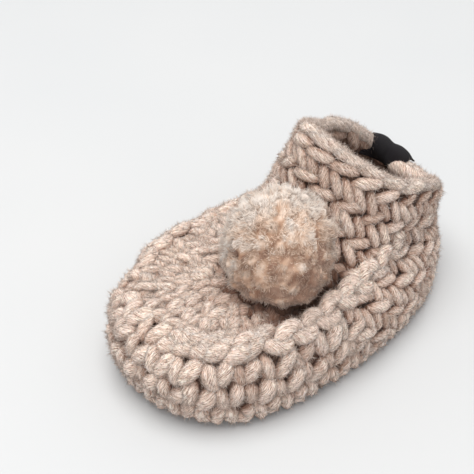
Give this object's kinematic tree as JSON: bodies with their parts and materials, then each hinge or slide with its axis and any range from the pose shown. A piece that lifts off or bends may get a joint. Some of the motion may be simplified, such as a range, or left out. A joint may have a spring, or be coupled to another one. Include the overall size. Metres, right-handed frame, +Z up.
{
  "type": "baby slipper",
  "caption": "Hollow crocheted baby slipper in thick yarn: flat oval sole, blunt round toe, low cuff open at the collar, round pompom on the vamp and a bare folded ribbon label.",
  "frame": {"origin": "middle of the bounding box, on the floor under the sole", "axes": "+X towards the toe, +Y towards the wearer's left, +Z up"},
  "size_m": [0.1124, 0.0632, 0.0588],
  "materials": {
    "sole_yarn": "soft matt plied yarn, crocheted in rounds",
    "upper_yarn": "soft matt plied yarn, crocheted in rounds",
    "pompom_wool": "dense cut wool pile",
    "black_ribbon": "woven matt ribbon"
  },
  "bodies": {
    "root": {"sole": "sole_yarn", "upper": "upper_yarn", "pompom": "pompom_wool", "label": "black_ribbon"}
  },
  "joints": []
}
